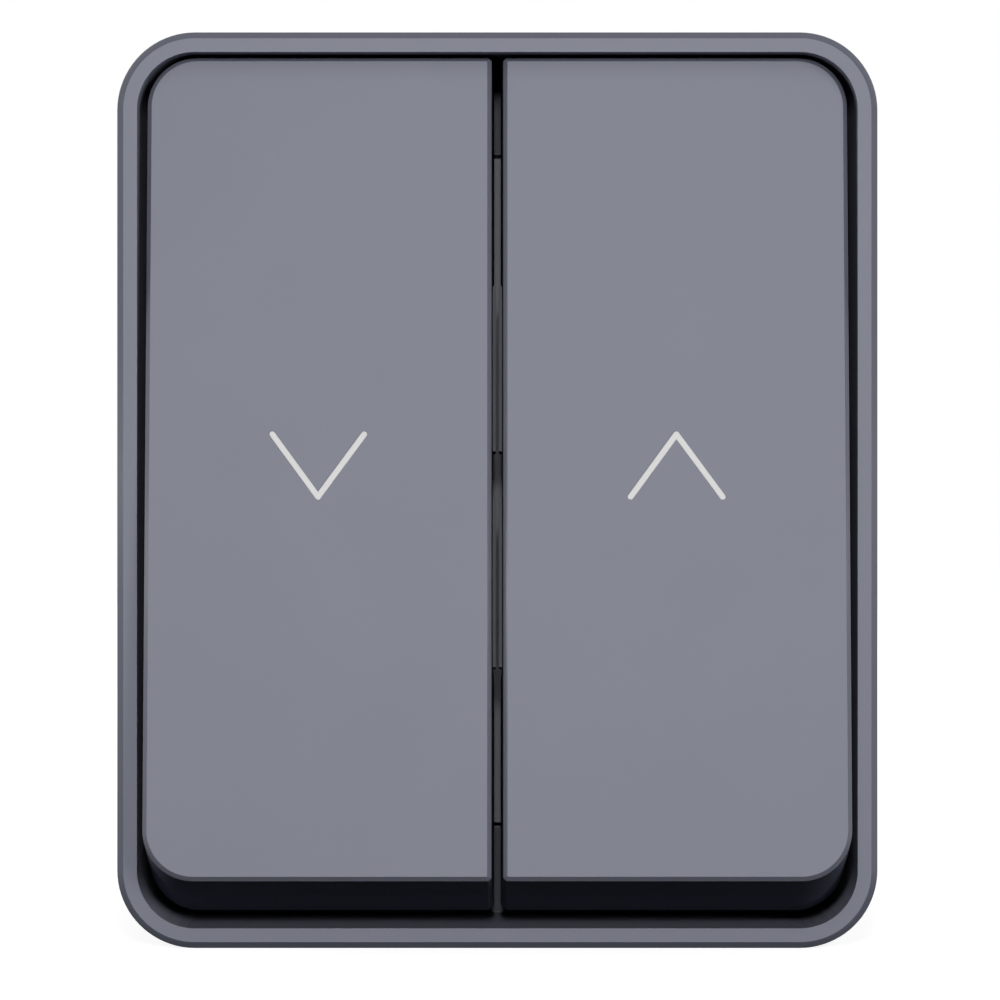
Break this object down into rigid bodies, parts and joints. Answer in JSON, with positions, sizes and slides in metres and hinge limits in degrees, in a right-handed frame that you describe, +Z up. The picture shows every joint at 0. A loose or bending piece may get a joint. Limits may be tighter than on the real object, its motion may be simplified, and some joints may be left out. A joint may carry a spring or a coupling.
{
  "type": "roller shutter switch",
  "caption": "Portrait surface-mounted splash-proof roller shutter switch: tall up and down rockers side by side in a deep rounded frame, with a changeover mechanism and a back box.",
  "frame": {"origin": "centre of the box's flat back face, on the wall plane", "axes": "+X to the right seen from the front, +Y into the wall, +Z up"},
  "size_m": [0.0714, 0.0635, 0.086],
  "materials": {
    "frame_plastic": "fine-grained matte grey-blue moulded plastic",
    "rocker_plastic": "fine-grained matte grey-blue moulded plastic",
    "arrow_inlay": "pale grey inlay",
    "dark_plastic": "dark grey moulded plastic",
    "housing_plastic": "black glass-filled moulded plastic",
    "seal_rubber": "soft black elastomer",
    "plunger_plastic": "white slippery plastic",
    "zinc_steel": "zinc-plated steel",
    "spring_steel": "drawn spring wire",
    "contact_brass": "stamped brass strip",
    "contact_silver": "silver contact rivets"
  },
  "bodies": {
    "casing": {"back_box": "frame_plastic", "front_frame": "frame_plastic", "sealing_ring": "seal_rubber", "top_grommet": "seal_rubber", "bottom_grommet": "seal_rubber", "frame_screws": "zinc_steel", "mechanism_screws": "zinc_steel", "carrier_plate": "dark_plastic", "mechanism_housing": "housing_plastic", "fixed_points": "contact_silver", "feed_strip": "contact_brass", "link_strip": "contact_brass", "down_strip": "contact_brass", "up_strip": "contact_brass", "feed_clamp": "zinc_steel", "down_clamp": "zinc_steel", "up_clamp": "zinc_steel", "feed_clamp_screw": "zinc_steel", "down_clamp_screw": "zinc_steel", "up_clamp_screw": "zinc_steel"},
    "left_rocker": {"left_rocker": "rocker_plastic", "down_arrow": "arrow_inlay", "left_actuator": "dark_plastic", "left_spring": "spring_steel"},
    "right_rocker": {"right_rocker": "rocker_plastic", "up_arrow": "arrow_inlay", "right_actuator": "dark_plastic", "right_spring": "spring_steel"},
    "left_plunger": {"left_plunger": "plunger_plastic"},
    "right_plunger": {"right_plunger": "plunger_plastic"},
    "left_lever": {"left_lever": "contact_brass", "left_lever_points": "contact_silver"},
    "right_lever": {"right_lever": "contact_brass", "right_lever_points": "contact_silver"}
  },
  "joints": [
    {"name": "left_rocker_tilt", "type": "hinge", "parent": "casing", "child": "left_rocker", "pos_m": [0, -0.0395, 0], "axis": [1, 0, 0], "range_deg": [0, 13.5]},
    {"name": "right_rocker_tilt", "type": "hinge", "parent": "casing", "child": "right_rocker", "pos_m": [0, -0.0395, 0], "axis": [1, 0, 0], "range_deg": [0, 13.5]},
    {"name": "left_lever_rock", "type": "hinge", "parent": "casing", "child": "left_lever", "pos_m": [0, -0.026, 0], "axis": [1, 0, 0], "range_deg": [-12.15, 0]},
    {"name": "right_lever_rock", "type": "hinge", "parent": "casing", "child": "right_lever", "pos_m": [0, -0.026, 0], "axis": [1, 0, 0], "range_deg": [-12.15, 0]},
    {"name": "left_plunger_travel", "type": "slide", "parent": "left_rocker", "child": "left_plunger", "axis": [0, -0.9931, 0.1175], "range_m": [0, 0.001], "stiffness_N_per_m": 300, "springref_m": -0.003, "deforming": ["left_spring"]},
    {"name": "right_plunger_travel", "type": "slide", "parent": "right_rocker", "child": "right_plunger", "axis": [0, -0.9931, 0.1175], "range_m": [0, 0.001], "stiffness_N_per_m": 300, "springref_m": -0.003, "deforming": ["right_spring"]}
  ],
  "couplings": [
    {"joint": "left_lever_rock", "follows": "left_rocker_tilt", "ratio": -0.9},
    {"joint": "right_lever_rock", "follows": "right_rocker_tilt", "ratio": -0.9}
  ]
}
